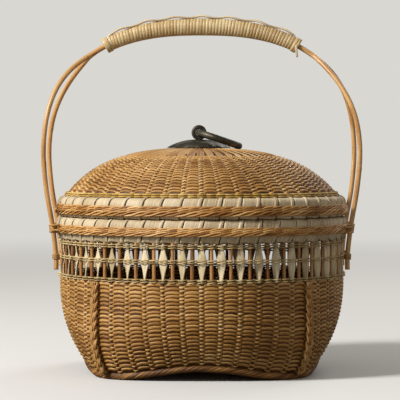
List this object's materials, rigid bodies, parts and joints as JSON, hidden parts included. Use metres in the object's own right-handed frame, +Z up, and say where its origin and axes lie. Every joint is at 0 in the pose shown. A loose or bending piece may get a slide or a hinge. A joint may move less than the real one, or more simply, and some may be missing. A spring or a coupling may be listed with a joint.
{
  "type": "bamboo basket",
  "caption": "Round bamboo basket on square feet, with an openwork band, a domed lift-off lid with a ring pull, and a tall fixed bail handle with a cane-wrapped grip.",
  "frame": {"origin": "on the ground under the middle of the basket, between the four feet", "axes": "+Z up; -Y the front; the handle's arch and the ring pull's swing lie in the plane of X and Z"},
  "size_m": [0.2996, 0.279, 0.3359],
  "materials": {
    "weave": "satin",
    "pale_splint": "satin",
    "golden_braid": "satin",
    "green_twining": "satin",
    "stake": "satin",
    "rod": "semi-gloss",
    "metal": "dark aged bronze"
  },
  "bodies": {
    "basket": {"foot_ring": "weave", "base_panel": "weave", "lower_wall": "weave", "corner_braid_front_left": "golden_braid", "corner_braid_front_right": "golden_braid", "corner_braid_back_left": "golden_braid", "corner_braid_back_right": "golden_braid", "lower_twining": "weave", "middle_twining": "weave", "upper_twining": "weave", "openwork_stakes": "stake", "rim_hoop": "rod", "seat_collar": "weave", "rim_wrap": "pale_splint", "rim_braid": "golden_braid", "handle_hoop_front": "rod", "handle_hoop_back": "rod", "rim_lashing_front_left": "golden_braid", "rim_lashing_front_right": "golden_braid", "rim_lashing_back_left": "golden_braid", "rim_lashing_back_right": "golden_braid", "tail_lashing_front_left": "golden_braid", "tail_lashing_front_right": "golden_braid", "tail_lashing_back_left": "golden_braid", "tail_lashing_back_right": "golden_braid", "grip_filler_top": "stake", "grip_filler_bottom": "stake", "grip_wrap": "pale_splint", "grip_spine": "pale_splint", "grip_collar_left": "pale_splint", "grip_collar_right": "pale_splint"},
    "lid": {"lid_hoop": "rod", "lid_rim_wrap": "pale_splint", "lid_rim_braid": "golden_braid", "lid_twining": "green_twining", "lid_dome": "weave", "pull_plate": "metal", "pull_eye": "metal", "pull_washer": "metal"},
    "ring": {"pull_ring": "metal"}
  },
  "joints": [
    {"name": "lid_lift", "type": "slide", "parent": "basket", "child": "lid", "axis": [0, 0, 1], "range_m": [0, 0.045]},
    {"name": "ring_swing", "type": "hinge", "parent": "lid", "child": "ring", "pos_m": [-0.0025, 0, 0.22488], "axis": [0, -1, 0], "range_deg": [0, 216]}
  ]
}
